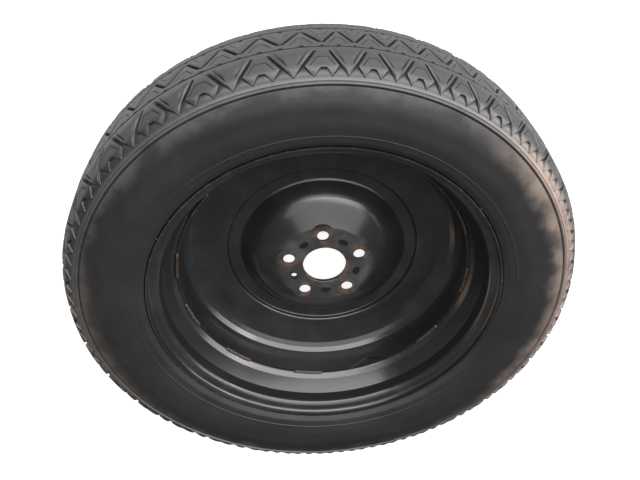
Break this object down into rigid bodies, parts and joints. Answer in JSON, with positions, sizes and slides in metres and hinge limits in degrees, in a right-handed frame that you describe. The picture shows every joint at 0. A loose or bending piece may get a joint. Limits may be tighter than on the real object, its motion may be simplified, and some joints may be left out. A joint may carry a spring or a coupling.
{
  "type": "space saver spare wheel",
  "caption": "Temporary-use spare wheel: a narrow tubeless tyre on a deep black steel rim, with a welded pressed disc, bolt holes and a snap-in valve",
  "frame": {"origin": "centre of the hub mounting face, on the wheel's axis", "axes": "+Z along the wheel's axis towards the inboard side, with the wheel lying flat on its outboard side; +Y towards the middle of the pictured tread"},
  "size_m": [0.708, 0.708, 0.1514],
  "materials": {
    "tyre_rubber": "satin black rubber, greyer on the tread",
    "rim_paint": "gloss black paint with rust at edges",
    "disc_paint": "gloss black paint, dusty and rusty at the hub",
    "weld_metal": "painted weld bead with rust",
    "valve_rubber": "matt black rubber",
    "valve_brass": "dull brass",
    "core_seal": "seal rubber",
    "spring_steel": "bright spring wire",
    "cap_plastic": "black plastic"
  },
  "bodies": {
    "wheel": {"tyre": "tyre_rubber", "rim": "rim_paint", "wheel_disc": "disc_paint", "disc_welds": "weld_metal", "valve_body": "valve_rubber", "valve_stem": "valve_brass", "core_barrel": "valve_brass", "core_gasket": "core_seal", "core_spring": "spring_steel"},
    "valve_pin": {"core_pin": "valve_brass", "core_cup": "core_seal"},
    "seal": {"cap_seal": "core_seal"},
    "cap": {"valve_cap": "cap_plastic"}
  },
  "joints": [
    {"name": "pin_press", "type": "slide", "parent": "wheel", "child": "valve_pin", "axis": [-0.1159, 0.2868, 0.951], "range_m": [0, 0.0015], "deforming": ["core_spring"]},
    {"name": "seal_travel", "type": "slide", "parent": "wheel", "child": "seal", "axis": [0.1159, -0.2868, -0.951], "range_m": [0, 0.00396]},
    {"name": "cap_turn", "type": "hinge", "parent": "seal", "child": "cap", "pos_m": [-0.07993, 0.19783, -0.03979], "axis": [0.1159, -0.2868, -0.951], "range_deg": [0, 1800]}
  ],
  "couplings": [
    {"joint": "cap_turn", "follows": "seal_travel", "rad_per_m": 7915.8}
  ]
}
